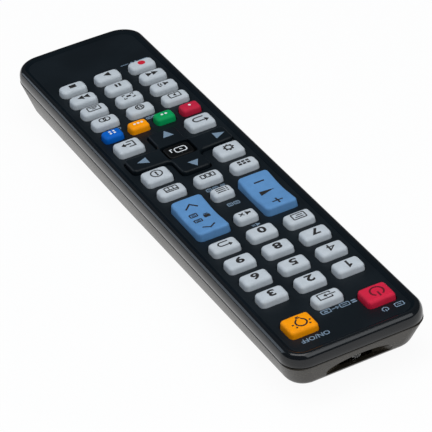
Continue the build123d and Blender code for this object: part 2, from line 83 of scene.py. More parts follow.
def makeCamera(view):
    data = bpy.data.cameras.new("camera")
    data.lens = view["lens"]
    data.sensor_width = view["sensor"]
    data.shift_x = -view["shift"]
    data.shift_y = view["shift"]
    data.clip_start, data.clip_end = view["clip"]
    right = Vector(view["right"]).normalized()
    back = right.cross(Vector(view["up"])).normalized()
    turn = Matrix((right, back.cross(right), back)).transposed().to_4x4()
    camera = addObject("camera", data)
    camera.matrix_world = Matrix.Translation(Vector(view["place"]) * mm) @ turn
    bpy.context.scene.camera = camera


makeCamera(cameraView)
bpy.context.scene.view_settings.view_transform = "Standard"


class Wire:
    # An output socket. Sums, products and tests of wires add their Math nodes.
    def __init__(self, paint, socket):
        self.paint = paint
        self.socket = socket

    def maths(self, operation, first, second):
        return self.paint.add("Math", {"operation": operation}, {0: first, 1: second})

    def __add__(self, other):
        return self.maths("ADD", self, other)

    def __mul__(self, other):
        return self.maths("MULTIPLY", self, other)

    def __sub__(self, other):
        return self.maths("SUBTRACT", self, other)

    def __rsub__(self, other):
        return self.maths("SUBTRACT", other, self)

    def __gt__(self, other):
        return self.maths("GREATER_THAN", self, other)

    __radd__ = __add__
    __rmul__ = __mul__


class Paint:
    # A material, its nodes, and the piece's own coordinates that its patterns lie on.
    def __init__(self, name):
        self.material = bpy.data.materials.new(name)
        self.material.use_nodes = True
        self.tree = self.material.node_tree
        self.tree.nodes.clear()
        self.place = self.add("TexCoord", output="Object")

    def add(self, kind, settings=None, sockets=None, output=0):
        node = self.tree.nodes.new("ShaderNode" + kind)
        for name, value in (settings or {}).items():
            setattr(node, name, value)
        for name, value in (sockets or {}).items():
            if isinstance(value, Wire):
                self.tree.links.new(value.socket, node.inputs[name])
            else:
                node.inputs[name].default_value = value
        return Wire(self, node.outputs[output]) if len(node.outputs) else node

    def noise(self, size, detail=2.0, stretch=(1, 1, 1)):
        where = self.add("VectorMath", {"operation": "MULTIPLY"}, {0: self.place, 1: stretch})
        return self.add("TexNoise", {}, {"Vector": where, "Scale": 1 / (size * mm), "Detail": detail})

    def axis(self, name):
        parts = {"X": 0, "Y": 1, "Z": 2}
        return self.add("SeparateXYZ", {}, {0: self.place}, output=parts[name])

    def between(self, value, low, high):
        sockets = {"Value": value, "From Min": low, "From Max": high}
        return self.add("MapRange", {"interpolation_type": "SMOOTHSTEP"}, sockets)

    def blend(self, factor, first, second):
        colours = [(*c, 1) if isinstance(c, tuple) else c for c in (first, second)]
        sockets = {0: factor, 6: colours[0], 7: colours[1]}
        return self.add("Mix", {"data_type": "RGBA"}, sockets, output=2)

    def bump(self, height, depth, under=None):
        sockets = {"Height": height, "Distance": depth * mm, "Strength": 1.0}
        if under is not None:
            sockets["Normal"] = under
        return self.add("Bump", {}, sockets)

    # A film lays a share of plain dull colour over the shine: partly a matt skin, partly a painted warm
    # reflection.
    def finish(self, sockets, dullFilmAndSheen=None, share=0.0):
        shader = self.add("BsdfPrincipled", {}, sockets)
        if dullFilmAndSheen:
            plain = self.add("BsdfDiffuse", {}, {"Color": (*dullFilmAndSheen, 1)})
            shader = self.add("MixShader", {}, {0: share, 1: shader, 2: plain})
        self.add("OutputMaterial", {}, {"Surface": shader})
        return self.material


# Moulded silicone of the keys: matt, faintly mottled, with a fine grain from the mould
siliconeLook = {
    "mottle": 2.6,
    "mottleShare": 0.035,
    "mottleRange": (0.3, 0.7),
    "grain": 0.5,
    "grainShare": 0.7,
    "grainDepth": 0.012,
    "pore": 0.14,
    "poreDepth": 0.004,
    "roughness": 0.58,
    "poreRoughness": 0.2,
    "specular": 0.13,
}


def silicone(name, colour, look=siliconeLook):
    paint = Paint(name)
    mottle = paint.noise(look["mottle"], 3.0)
    grain = paint.noise(look["grain"], 2.0)
    pore = paint.noise(look["pore"], 1.0)
    share = look["mottleShare"]
    dim = tuple(c * (1 - share) for c in colour)
    lit = tuple(min(c * (1 + share), 1.0) for c in colour)
    spread = paint.between(mottle + (grain - 0.5) * look["grainShare"], *look["mottleRange"])
    coarse = paint.bump(grain, look["grainDepth"])
    return paint.finish({
        "Base Color": paint.blend(spread, dim, lit),
        "Roughness": look["roughness"] + (pore - 0.5) * look["poreRoughness"],
        "Specular IOR Level": look["specular"],
        "Normal": paint.bump(pore, look["poreDepth"], coarse),
    })


# Gloss plastic of the case: a deep shine with a slight ripple, faint streaks down the walls,
# smears and a little dust. The roughness climbs from smooth at the height low to rough at high,
# and a thin dull warm film, partly a matt skin and partly a painted warm reflection, can mask part of the
# shine.
glossLook = {
    "colour": (0.0050, 0.0062, 0.0078),
    "ripple": 9.0,
    "rippleDepth": 0.004,
    "streak": 0.9,
    "streakStretch": (1.0, 1.0, 0.06),
    "streakDepth": 0.006,
    "smear": 14.0,
    "smearStretch": (1.0, 0.35, 1.0),
    "smearRange": (0.42, 0.75),
    "smearRoughness": 0.06,
    "speck": 0.4,
    "speckRange": (0.72, 0.82),
    "dust": 0.003,
    # share of the warm film, partly a matt skin and partly a painted warm reflection
    "filmShare": 0.32,
}


def glossPlastic(name, smooth, rough, specular, low, high, dullFilmAndSheen=None, look=glossLook):
    paint = Paint(name)
    ripple = paint.noise(look["ripple"], 2.0)
    streak = paint.noise(look["streak"], 2.0, look["streakStretch"])
    smear = paint.between(paint.noise(look["smear"], 5.0, look["smearStretch"]), *look["smearRange"])
    speck = paint.between(paint.noise(look["speck"], 1.0), *look["speckRange"])
    climb = paint.between(paint.axis("Z"), low * mm, high * mm)
    colour = look["colour"]
    dusty = tuple(c * 2.0 + look["dust"] for c in colour)
    wavy = paint.bump(ripple, look["rippleDepth"])
    return paint.finish({
        "Base Color": paint.blend(speck, colour, dusty),
        "Roughness": smooth + climb * (rough - smooth) + smear * look["smearRoughness"],
        "Specular IOR Level": specular,
        "Normal": paint.bump(streak, look["streakDepth"], wavy),
    }, dullFilmAndSheen, look["filmShare"])


# What the next finishes share: patches of noise blend two colours and change the roughness,
# over a grain where there is one. A noise is given as its size, detail and stretch.
def patchy(name, look, colours, sockets):
    paint = Paint(name)
    patch = paint.noise(*look["patch"])
    if "range" in look:
        patch = paint.between(patch, *look["range"])
    sockets["Base Color"] = paint.blend(patch, *colours)
    sockets["Roughness"] = look["roughness"] + patch * look["patchRoughness"]
    if "grain" in look:
        sockets["Normal"] = paint.bump(paint.noise(*look["grain"]), look["grainDepth"])
    return paint.finish(sockets)


# Satin black of the plate, the rim's slope, the pad and the enter key: a fine etched texture
# with slightly lighter, rougher clouds
faceLook = {
    "colour": (0.0026, 0.0054, 0.0080),
    "gain": 1.35,
    "patch": (18.0, 4.0),
    "range": (0.35, 0.7),
    "roughness": 0.36,
    "patchRoughness": 0.08,
    "specular": 0.30,
    "grain": (0.32, 2.0),
    "grainDepth": 0.006,
}


def satinPlate(name, look=faceLook):
    colours = look["colour"], tuple(c * look["gain"] for c in look["colour"])
    return patchy(name, look, colours, {"Specular IOR Level": look["specular"]})


# Printing ink: flat colour, thinner and rougher in places
inkLook = {"patch": (0.35, 3.0), "range": (0.25, 0.6), "gain": 0.8, "roughness": 0.70,
           "patchRoughness": -0.15, "specular": 0.3}


def ink(name, colour, look=inkLook):
    colours = tuple(c * look["gain"] for c in colour), colour
    return patchy(name, look, colours, {"Specular IOR Level": look["specular"]})


# Plated steel: drawn along its length, with a faint warm tarnish
steelLook = {"patch": (3.0, 4.0), "range": (0.45, 0.75), "roughness": 0.24, "patchRoughness": 0.2,
             "grain": (0.25, 3.0, (1.0, 0.12, 1.0)), "grainDepth": 0.004,
             "colours": ((0.62, 0.61, 0.59), (0.44, 0.42, 0.38))}


def platedSteel(name, look=steelLook):
    return patchy(name, look, look["colours"], {"Metallic": 1.0})


# Moulded resin or fired ceramic: one colour with a fine rough skin
pottingLook = {"patch": (0.18, 3.0), "patchRoughness": 0.15, "gains": (0.8, 1.25),
               "grain": (0.18, 3.0), "grainDepth": 0.01}


def potting(name, colour, smoothest, look=pottingLook):
    colours = [tuple(c * gain for c in colour) for gain in look["gains"]]
    return patchy(name, {**look, "roughness": smoothest}, colours, {})


# Clear epoxy of the infrared lens, faintly wavy
resinLook = {"patch": (1.5, 2.0), "roughness": 0.03, "patchRoughness": 0.03, "index": 1.5,
             "colours": ((0.90, 0.93, 0.97), (0.97, 0.98, 1.0))}


def clearResin(name, look=resinLook):
    return patchy(name, look, look["colours"], {"Transmission Weight": 1.0, "IOR": look["index"]})


# Solder resist over copper tracks: the joints of a brick pattern stand for the tracks.
boardLook = {
    "pattern": {"Color1": (0.010, 0.075, 0.028, 1), "Color2": (0.013, 0.092, 0.034, 1),
                "Mortar": (0.035, 0.19, 0.070, 1), "Scale": 260.0, "Mortar Size": 0.035,
                "Brick Width": 1.2, "Row Height": 0.42},
    "grain": 0.4,
    "grainDepth": 0.01,
    "grainRoughness": 0.15,
    "roughness": 0.30,
}


def boardResist(name, look=boardLook):
    paint = Paint(name)
    grain = paint.noise(look["grain"], 2.0)
    return paint.finish({
        "Base Color": paint.add("TexBrick", {"offset": 0.5}, {"Vector": paint.place, **look["pattern"]}),
        "Roughness": look["roughness"] + grain * look["grainRoughness"],
        "Normal": paint.bump(grain, look["grainDepth"]),
    })


# Capacitor: a black sleeve with a pale stripe down its right side and a bare metal lower end
canLook = {"stripeFrom": 10.7, "bareUnder": (5.75, 5.7), "sleeve": (0.010, 0.012, 0.020),
           "stripe": (0.42, 0.44, 0.47), "metal": (0.66, 0.67, 0.68), "roughness": 0.34,
           "grain": 0.3, "grainRoughness": 0.1}


def capacitorCan(name, look=canLook):
    paint = Paint(name)
    stripe = paint.axis("X") > look["stripeFrom"] * mm
    bare = paint.between(paint.axis("Z"), *(height * mm for height in look["bareUnder"]))
    sleeve = paint.blend(stripe, look["sleeve"], look["stripe"])
    return paint.finish({
        "Base Color": paint.blend(bare, sleeve, look["metal"]),
        "Metallic": bare,
        "Roughness": look["roughness"] + paint.noise(look["grain"], 2.0) * look["grainRoughness"],
    })


# Cell: a dark printed sleeve with a copper band and a bright tip at the end away from its nub.
# The band starts at one place along y and the tip at another, both blurred a little.
cellLook = {"blur": 0.1, "sleeve": (0.020, 0.024, 0.030), "copper": (0.45, 0.17, 0.055),
            "metal": (0.62, 0.61, 0.59), "bandMetallic": 0.9, "roughness": 0.28, "scuff": 1.2,
            "scuffRoughness": 0.15}


def cellSleeve(name, band, tip, look=cellLook):
    paint = Paint(name)
    along, blur = paint.axis("Y"), look["blur"]
    banded, tipped = (paint.between(along, (start - blur) * mm, (start + blur) * mm)
                      for start in (band, tip))
    if tip < band:
        banded, tipped = 1 - banded, 1 - tipped
    scuff = paint.noise(look["scuff"], 4.0)
    sleeve = paint.blend(banded, look["sleeve"], look["copper"])
    return paint.finish({
        "Base Color": paint.blend(tipped, sleeve, look["metal"]),
        "Metallic": banded * look["bandMetallic"],
        "Roughness": look["roughness"] + scuff * look["scuffRoughness"],
    })


paints = {
    "grey": silicone("grey silicone", (0.52, 0.560, 0.595)),
    "red": silicone("red silicone", (0.62, 0.016, 0.052)),
    "crimson": silicone("crimson silicone", (0.52, 0.016, 0.050)),
    "amber": silicone("amber silicone", (0.97, 0.325, 0.0)),
    "green": silicone("green silicone", (0.0, 0.31, 0.088)),
    "blue": silicone("blue silicone", (0.0, 0.115, 0.52)),
    "sky": silicone("sky blue silicone", (0.110, 0.265, 0.51)),
    "mat": silicone("mat silicone", (0.030, 0.032, 0.035)),
    "boot": silicone("boot silicone", (0.012, 0.012, 0.013)),
    "gloss": glossPlastic("gloss upper case", 0.08, 0.12, 0.42, 14, 18),
    # the lower case's warm dull film is partly a matt skin and partly a painted warm reflection
    "tray": glossPlastic("gloss lower case", 0.14, 0.28, 0.36, 4, 15, (0.080, 0.063, 0.040)),
    "face": satinPlate("satin key face"),
    "border": satinPlate("satin border", {**faceLook, "roughness": 0.65, "specular": 0.06}),
    "pad": satinPlate("satin pad", {**faceLook, "roughness": 0.42, "specular": 0.20}),
    "well": satinPlate("enter key", {**faceLook, "roughness": 0.38, "specular": 0.16,
                                     "colour": (0.002,) * 3}),
    "steel": platedSteel("plated steel"),
    "board": boardResist("board resist"),
    "chip": potting("chip resin", (0.012, 0.012, 0.013), 0.425),
    "ceramic": potting("ceramic", (0.012, 0.060, 0.20), 0.175),
    "can": capacitorCan("capacitor can"),
    "cellLeft": cellSleeve("cell sleeve left", -49.0, -46.2),
    "cellRight": cellSleeve("cell sleeve right", -82.5, -85.3),
    "lens": clearResin("clear resin"),
    "dark": ink("dark ink", (0.018, 0.016, 0.016)),
    "white": ink("white ink", (0.80, 0.82, 0.84)),
    "pale": ink("pale blue ink", (0.19, 0.27, 0.36)),
    "wine": ink("wine ink", (0.13, 0.004, 0.014)),
    "scarlet": ink("scarlet ink", (0.62, 0.012, 0.035)),
}
print("finishes:", len(paints))


# Quads of a grid; the last column joins the first, and the last row too where it loops.
def gridFaces(rows, columns, loop=False):
    row = np.arange(rows if loop else rows - 1)[:, None]
    column = np.arange(columns)[None, :]
    above, beside = (row + 1) % rows, (column + 1) % columns
    corners = (row * columns + column, row * columns + beside,
               above * columns + beside, above * columns + column)
    return np.stack(np.broadcast_arrays(*corners), -1).reshape(-1, 4)


# A piece from points in millimetres and faces; it rides on a body and may stand for nodes.
# Edges that bend by more than the crease, in degrees, stay sharp.
def makePiece(name, points, faces, finish, body, stands=(), crease=38):
    mesh = bpy.data.meshes.new(name)
    mesh.from_pydata((np.asarray(points).reshape(-1, 3) * mm).tolist(), [], faces)
    mesh.update()
    mesh.shade_smooth()
    mesh.set_sharp_from_angle(angle=math.radians(crease))
    mesh.materials.append(finish)
    piece = addObject(name, mesh)
    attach(piece, body)
    if stands:
        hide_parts(*stands)
    return piece


# Rings in a row, each anticlockwise about the way they follow each other, so that the faces
# point outwards. A point in the middle closes each end.
def shellParts(rings):
    count, around = rings.shape[:2]
    points = np.concatenate([rings.reshape(-1, 3), rings[:1].mean(1), rings[-1:].mean(1)])
    first = np.arange(around)
    second = (first + 1) % around
    top = (count - 1) * around
    low, high = np.full(around, count * around), np.full(around, count * around + 1)
    fans = np.concatenate([np.stack([second, first, low], -1),
                           np.stack([top + first, top + second, high], -1)])
    return points, gridFaces(count, around).tolist() + fans.tolist()


# Arcs, each followed by a straight run of points to the next one's start
def withRuns(arcs, run):
    share = np.linspace(0, 1, run + 2)[1:-1][:, None]
    ends, starts = arcs[..., -1:, :], np.roll(arcs, -1, axis=-3)[..., :1, :]
    return np.concatenate([arcs, ends + (starts - ends) * share], axis=-2)


# A rounded rectangle as one closed round of points: a quarter circle about each corner's
# centre, then a straight run. The sizes may be columns, which gives a round for each.
def roundedOutline(width, depth, radius, arc=8, run=5):
    turn = np.linspace(0, math.pi / 2, arc)
    corner = np.arange(4)[:, None]
    angle = corner * math.pi / 2 + turn
    sideX, sideY = np.array([[1], [-1], [-1], [1]]), np.array([[1], [1], [-1], [-1]])
    half = [np.reshape(v, (-1, 1, 1)) for v in (width / 2 - radius, depth / 2 - radius)]
    radius = np.reshape(radius, (-1, 1, 1))
    arcs = np.stack([sideX * half[0] + radius * np.cos(angle),
                     sideY * half[1] + radius * np.sin(angle)], -1)
    return withRuns(arcs, run).reshape(len(arcs), -1, 2)


# A polygon whose corners are arcs: each arc touches both edges at radius / tan(half the
# corner's angle) from the corner, about a centre on the bisector.
def roundedPolygon(corners, radii, arc=7, run=4):
    corners, radii = np.asarray(corners, float), np.asarray(radii, float)[:, None]
    toLast = np.roll(corners, 1, 0) - corners
    toNext = np.roll(corners, -1, 0) - corners
    toLast /= np.linalg.norm(toLast, axis=1, keepdims=True)
    toNext /= np.linalg.norm(toNext, axis=1, keepdims=True)
    half = np.arccos(np.clip((toLast * toNext).sum(1), -1, 1))[:, None] / 2
    bisector = toLast + toNext
    bisector /= np.linalg.norm(bisector, axis=1, keepdims=True)
    centre = corners + bisector * radii / np.sin(half)
    start = corners + toLast * radii / np.tan(half) - centre
    turning = np.sign(toNext[:, :1] * -toLast[:, 1:] - toNext[:, 1:] * -toLast[:, :1])
    sweep = -turning * (math.pi - 2 * half) * np.linspace(0, 1, arc)
    across = np.stack([-start[:, 1], start[:, 0]], -1)
    arcs = (centre[:, None] + start[:, None] * np.cos(sweep)[..., None]
            + across[:, None] * np.sin(sweep)[..., None])
    return withRuns(arcs, run).reshape(-1, 2)


# Outward normals of a closed outline that runs anticlockwise: the tangent, from the points
# on either side, turned back by a right angle.
def outwardNormals(outline):
    tangent = np.roll(outline, -1, 0) - np.roll(outline, 1, 0)
    normal = np.stack([tangent[:, 1], -tangent[:, 0]], -1)
    return normal / np.linalg.norm(normal, axis=1, keepdims=True)


# A moulded button: straight walls that lean in by the draft near their top, an edge rolled
# over by a quarter circle, and a top whose height is a function of the place on it.
buttonForm = {"leastRadius": 0.12, "draftHeight": 1.2, "edgeSteps": 7}


def buttonRings(size, low, form, topAt, topSteps=7):
    (width, depth, radius), edge, draft = size, form["edge"], form["draft"]
    roll = np.linspace(0, math.pi / 2, buttonForm["edgeSteps"])
    inset = np.concatenate([[0.0, 0.0], draft + edge * (1 - np.cos(roll))])
    fall = np.concatenate([[0.0, 0.0], edge * (1 - np.sin(roll))])
    radius = np.maximum(radius - inset, buttonForm["leastRadius"])
    flat = roundedOutline(width - 2 * inset, depth - 2 * inset, radius)
    shrink = np.linspace(1, 0, topSteps + 1)[1:-1][:, None, None]
    flat = np.concatenate([flat, flat[-1] * shrink])
    fall = np.concatenate([fall, np.zeros(len(shrink))])[:, None]
    height = topAt(flat[..., 0], flat[..., 1]) - fall
    height[0], height[1] = low, height[2].min() - buttonForm["draftHeight"]
    return np.concatenate([flat, height[..., None]], -1)


# A node's middle, seen from above, and the heights of its underside and top
def centreOf(node):
    low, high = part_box(node)
    return (low.x + high.x) / 2 / mm, (low.y + high.y) / 2 / mm, low.z / mm, high.z / mm


faceHeight = 19.25  # top of the satin plate above the resting plane

# Key caps: width across, depth along and corner radius of each pattern
capForm = {
    "number": (9.95, 6.5, 1.5),
    "function": (9.9, 6.0, 1.8),
    "source": (10.3, 6.0, 1.8),
    "power": (10.1, 8.7, 1.4),
    "small": (7.8, 5.6, 1.5),
    "corner": (9.95, 7.8, 1.5),
    "colour": (7.4, 5.5, 1.4),
    "shift": (-0.12, -0.3),  # the caps stand a little off the middle of their plungers
    "edge": 1.15,
    "draft": 0.15,
    "crown": 0.26,
    "soften": 0.6,  # the moulded top lies this much under the bounding height of the key
}
# The keys of each pattern, named as their nodes are after key_
capPatterns = {
    "number": [*"0123456789", "text", "previous"],
    "function": ["content", "menu", "guide", "media", "web", "dual", "audio", "size", "caption",
                 "rewind", "pause", "forward", "record", "play", "stop"],
    "source": ["source"],
    "power": ["power", "light"],
    "small": ["mute", "channel_list"],
    "corner": ["tools", "info", "return", "exit"],
    "colour": ["red", "green", "amber", "blue"],
}
capPaints = {
    "power": ("red", "red_silicone"),
    "light": ("amber", "amber_silicone"),
    "red": ("crimson", "crimson_silicone"),
    "green": ("green", "green_silicone"),
    "amber": ("amber", "amber_silicone"),
    "blue": ("blue", "blue_silicone"),
}
bodyOf = {node.name: node["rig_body"] for node in nodes.values()}
tops = {}  # key to its place and the height of its top there, for what is printed on it


# The crown of a cap falls away from its middle as the square of the place over the half size.
def crownAt(top, size, crown):
    return lambda x, y: top - crown * ((2 * x / size[0]) ** 2 + (2 * y / size[1]) ** 2) / 2


# A button's rings become a piece at its place, on the body of the node that it stands for.
def layButton(name, node, place, rings, top, paint, slot):
    tops[node] = (*place, top)
    points, faces = shellParts(rings + (*place, 0))
    makePiece(name, points, faces, paints[paint], bodyOf[node], [node])


def makeCap(name, pattern):
    x, y, low, high = centreOf("key_" + name)
    place = (x + capForm["shift"][0], y + capForm["shift"][1])
    top = crownAt(high - capForm["soften"], capForm[pattern], capForm["crown"])
    rings = buttonRings(capForm[pattern], low, capForm, top)
    finish = capPaints.get(name, ("grey", "grey_silicone"))
    layButton("cap_" + name, "key_" + name, place, rings, top, *finish)


for pattern, names in capPatterns.items():
    for name in names:
        makeCap(name, pattern)
print("key caps:", len(tops))


# Rockers: one long cap whose top is hollow along its length
rockerForm = {
    "nodes": ["rocker_volume", "rocker_programme"],
    "size": (12.0, 22.8, 1.7),
    "edge": 0.9,
    "draft": 0.3,
    "dip": 0.95,
    "crown": 0.12,
    "foot": 1.6,  # the cap starts this much over the node's underside
    "soften": 0.5,  # and its peak lies this much under the node's top
}


def makeRocker(node):
    width, depth, _ = rockerForm["size"]
    x, y, low, high = centreOf(node)
    dip, crown = rockerForm["dip"], rockerForm["crown"]
    peak = high - rockerForm["soften"]

    # the hollow is a squared cosine along the length, with a slight crown across
    def top(u, v):
        along = np.clip(np.abs(2 * v / depth), 0, 1)
        return peak - dip * np.cos(along * math.pi / 2) ** 2 - crown * (2 * u / width) ** 2

    rings = buttonRings(rockerForm["size"], low + rockerForm["foot"], rockerForm, top, topSteps=12)
    layButton(node.replace("rocker", "tilt_key"), node, (x, y), rings, top, "sky", "sky_blue_silicone")


for node in rockerForm["nodes"]:
    makeRocker(node)
print("rockers:", len(rockerForm["nodes"]))


# Four-way pad: a cross with rolled edges and a hollow top, open in the middle for enter
padForm = {
    "reach": (19.1, 14.5),
    "arm": (10.6, 8.7),  # width of the arms along, depth of the arms across
    "inner": 2.4,
    "outer": 1.4,
    "edge": 0.7,
    "dip": 0.5,
    "opening": (11.3, 8.9),
    "squareness": 9,  # the order of the superellipse that the opening follows
    "lip": 0.04,
    "skirt": 3.2,
    "topSteps": 10,
}


# The pad's outline grown by a gap: twelve corners, of which the four inner ones are hollow.
def crossOutline(grow=0.0):
    reachX, reachY = (r + grow for r in padForm["reach"])
    armX, armY = (a / 2 + grow for a in padForm["arm"])
    outer, inner = padForm["outer"] + grow, padForm["inner"] - grow
    corners = [(reachX, -armY), (reachX, armY), (armX, armY), (armX, reachY),
               (-armX, reachY), (-armX, armY), (-reachX, armY), (-reachX, -armY),
               (-armX, -armY), (-armX, -reachY), (armX, -reachY), (armX, -armY)]
    radii = [outer, outer, inner] * 4
    return roundedPolygon(corners, radii)


def makePad(node):
    x, y, _, high = centreOf(node)
    outline = crossOutline()
    normal = outwardNormals(outline)
    edge, dip, skirt = padForm["edge"], padForm["dip"], padForm["skirt"]
    reach = padForm["reach"][0]

    # the hollow deepens from the arms' ends to the middle as the square of the distance
    def top(u, v):
        return high - dip * (1 - np.clip((u ** 2 + v ** 2) / reach ** 2, 0, 1))

    roll = np.linspace(0, math.pi / 2, 6)
    inset = np.concatenate([[0.0], edge * (1 - np.cos(roll))])[:, None, None]
    fall = np.concatenate([[0.0], edge * (1 - np.sin(roll))])[:, None]
    rounds = outline - inset * normal
    # the opening, a superellipse, is met in the same direction from the middle
    wide, long = padForm["opening"]
    angle = np.arctan2(outline[:, 1] / long, outline[:, 0] / wide)
    order = padForm["squareness"]
    spread = (np.abs(np.cos(angle)) ** order + np.abs(np.sin(angle)) ** order) ** (-1 / order)
    hole = np.stack([wide / 2 * spread * np.cos(angle), long / 2 * spread * np.sin(angle)], -1)
    steps = padForm["topSteps"]
    share = np.linspace(0, 1, steps + 1)[1:, None, None]
    rounds = np.concatenate([rounds, rounds[-1] + (hole - rounds[-1]) * share, hole[None]])
    fall = np.concatenate([fall, np.zeros((steps - 1, 1)), [[padForm["lip"]], [skirt]]])
    height = top(rounds[..., 0], rounds[..., 1]) - fall
    height[0] = high - skirt
    tops[node] = (x, y, top)
    rings = np.concatenate([rounds, height[..., None]], -1) + np.array([x, y, 0])
    makePiece("direction_pad", rings, gridFaces(*rings.shape[:2], loop=True).tolist(),
              paints["pad"], bodyOf[node], [node])


# Enter key: a flat button in the pad's opening
enterForm = {"size": (9.8, 7.5, 1.3), "edge": 0.5, "draft": 0.1, "crown": 0.2}


def makeEnter(node):
    x, y, low, high = centreOf(node)
    top = crownAt(high, enterForm["size"], enterForm["crown"])
    rings = buttonRings(enterForm["size"], low, enterForm, top)
    layButton("cap_enter", node, (x, y), rings, top, "well", "black_silicone")


makePad("four_way_pad")
makeEnter("key_enter")
print("pad and enter key")


# Upper case: a rim carried round the outline, and the satin plate with its holes
caseForm = {
    "width": 50.0,
    "length": 217.0,
    "noseCorner": 7.8,
    "tailCorner": 9.5,
    "tailBow": 0.5,
    "joint": 15.05,
    "groove": (0.65, 0.35),  # depth and height of the groove over the joint
    "wallFoot": [(0.10, 0.4), (0.02, 0.55)],  # from the outline and the joint: in, and up
    "rimTop": 19.95,
    "rollAcross": 1.7,
    "rollDown": 3.3,
    "rimLean": 0.05,
    "crest": (0.7, 0.06),  # from the end of the roll: in, and down
    "plateEdge": 3.7,
    # from the plate's edge and top, in and up: the end of the slope and the lip at the plate
    "slope": [(-0.55, 0.2), (-0.25, 0.05), (0.05, 0.0), (0.1, -0.2), (0.1, -1.0)],
    "innerWall": (1.8, 1.8),  # hidden: in from the outline, and down from the plate's top
    "plateThickness": 1.2,
    "holeGap": 0.3,
    "padGap": 0.5,
    "holeRound": 0.12,
}


# The case seen from above: straight sides and nose, round corners, and a tail edge whose
# middle bows out as a parabola that has died away where the straight sides start.
def caseOutline(form=caseForm, arc=14, run=24):
    halfX, halfY = form["width"] / 2, form["length"] / 2
    bow = form["tailBow"]
    corners = [(halfX, -halfY), (halfX, halfY), (-halfX, halfY), (-halfX, -halfY)]
    nose, tail = form["noseCorner"], form["tailCorner"]
    outline = roundedPolygon(corners, [tail, nose, nose, tail], arc, run)
    back = np.clip((-outline[:, 1] - halfY + tail + bow) / (tail + bow), 0, 1)
    outline[:, 1] += back * bow * (outline[:, 0] / halfX) ** 2
    return outline


def makeRim(form=caseForm):
    outline = caseOutline()
    normal = outwardNormals(outline)
    joint, top, lean = form["joint"], form["rimTop"], form["rimLean"]
    groove, grooveHeight = form["groove"]
    across, down = form["rollAcross"], form["rollDown"]
    crestIn, crestDown = form["crest"]
    wall, wallDown = form["innerWall"]
    turn = np.linspace(0, math.pi / 2, 15)
    # the profile as (in from the outline, height). Outside: groove, wall, and an edge rolled
    # over by a quarter of an ellipse. Inside: the slope to the plate, its lip and a hidden wall
    outside = np.concatenate([
        [(groove, joint), (groove, joint + grooveHeight)],
        np.add(form["wallFoot"], (0, joint)),
        np.stack([lean + across * (1 - np.cos(turn)), top - down + down * np.sin(turn)], -1),
    ])
    inside = np.concatenate([
        [(lean + across + crestIn, top - crestDown)],
        np.add(form["slope"], (form["plateEdge"], faceHeight)),
        [(wall, faceHeight - wallDown), (wall, joint)],
    ])
    profile = np.concatenate([outside, inside])
    flat = outline - profile[:, :1, None] * normal
    height = np.broadcast_to(profile[:, 1:, None], flat.shape[:2] + (1,))
    rings = np.concatenate([flat, height], -1)
    rim = makePiece("case_rim", rings, gridFaces(*rings.shape[:2], loop=True).tolist(),
                    paints["gloss"], "case", crease=50)
    rim.data.materials.append(paints["border"])
    bordered = (np.arange(len(profile)) >= len(outside)).astype(np.int32)
    rim.data.polygons.foreach_set("material_index", np.repeat(bordered, len(outline)))


# The mesh of a curve or type, as points and faces
def curveParts(curve):
    flat = addObject(curve.name, curve)
    bpy.context.view_layer.update()
    mesh = bpy.data.meshes.new_from_object(flat.evaluated_get(bpy.context.evaluated_depsgraph_get()))
    bpy.data.objects.remove(flat)
    points = np.zeros(len(mesh.vertices) * 3)
    mesh.vertices.foreach_get("co", points)
    faces = [list(p.vertices) for p in mesh.polygons]
    bpy.data.meshes.remove(mesh)
    return points.reshape(-1, 3), faces


# A flat plate with holes from closed outlines, its edges rounded by the curve's own bevel.
def filledPlate(name, outlines, thickness, edge, top, finish, body, stands):
    curve = bpy.data.curves.new(name, "CURVE")
    curve.dimensions, curve.fill_mode = "2D", "BOTH"
    curve.extrude = (thickness / 2 - edge) * mm
    curve.bevel_depth, curve.bevel_resolution, curve.offset = edge * mm, 2, -edge * mm
    for outline in outlines:
        spline = curve.splines.new("POLY")
        spline.points.add(len(outline) - 1)
        places = np.zeros((len(outline), 4))
        places[:, :2], places[:, 3] = outline * mm, 1
        spline.points.foreach_set("co", places.ravel())
        spline.use_cyclic_u = True
    points, faces = curveParts(curve)
    points = points / mm + (0, 0, top - thickness / 2)
    makePiece(name, points, faces, finish, body, stands)


def makeFacePlate(form=caseForm):
    outline = caseOutline()
    outlines = [outline - form["plateEdge"] * outwardNormals(outline)]
    gap = form["holeGap"]
    holes = [(capForm[pattern], ["key_" + name for name in names])
             for pattern, names in capPatterns.items()]
    for (width, depth, radius), holders in holes + [(rockerForm["size"], rockerForm["nodes"])]:
        hole = roundedOutline(width + 2 * gap, depth + 2 * gap, radius + gap, 6, 1)[0]
        outlines += [hole + np.array(tops[node][:2]) for node in holders]
    outlines.append(crossOutline(form["padGap"]) + np.array(tops["four_way_pad"][:2]))
    filledPlate("face_plate", outlines, form["plateThickness"], form["holeRound"], faceHeight,
                paints["face"], "case", ["upper_case"])


makeRim()
makeFacePlate()
print("upper case: rim and plate")


# Printed marks: strokes are ribbons of ink, fills are low cushions, figures are cut from type.
# Each is made flat, as points (x, y, height over the surface) and faces, then laid on its key.
inkForm = {
    "rise": 0.045,
    "sink": 0.04,
    "step": 0.4,
    "stroke": 0.5,
    "leastBend": 0.5,  # the cosine of half a sharp bend counts as this much
    "arcPoints": 5,  # an arc's least number, with one more for each 30 of degrees times radius
    "arcShare": 30,
    "fillShares": (1, 1, 0.66, 0.33),
    "typeDepth": 0.1,
    "typeSteps": 3,
}


def atLevel(flat, level):
    return np.concatenate([flat, np.full((len(flat), 1), level)], 1)


# The same path with extra points, a step apart, between its own. Places along it are rounded,
# so that two that nearly meet become one.
def evenSteps(path):
    path = np.asarray(path, float)
    along = np.concatenate([[0], np.cumsum(np.linalg.norm(np.diff(path, axis=0), axis=1))])
    steps = np.arange(inkForm["step"], along[-1], inkForm["step"])
    stations = np.unique(np.round(np.concatenate([along, steps]), 2))
    return np.stack([np.interp(stations, along, path[:, axis]) for axis in (0, 1)], -1)


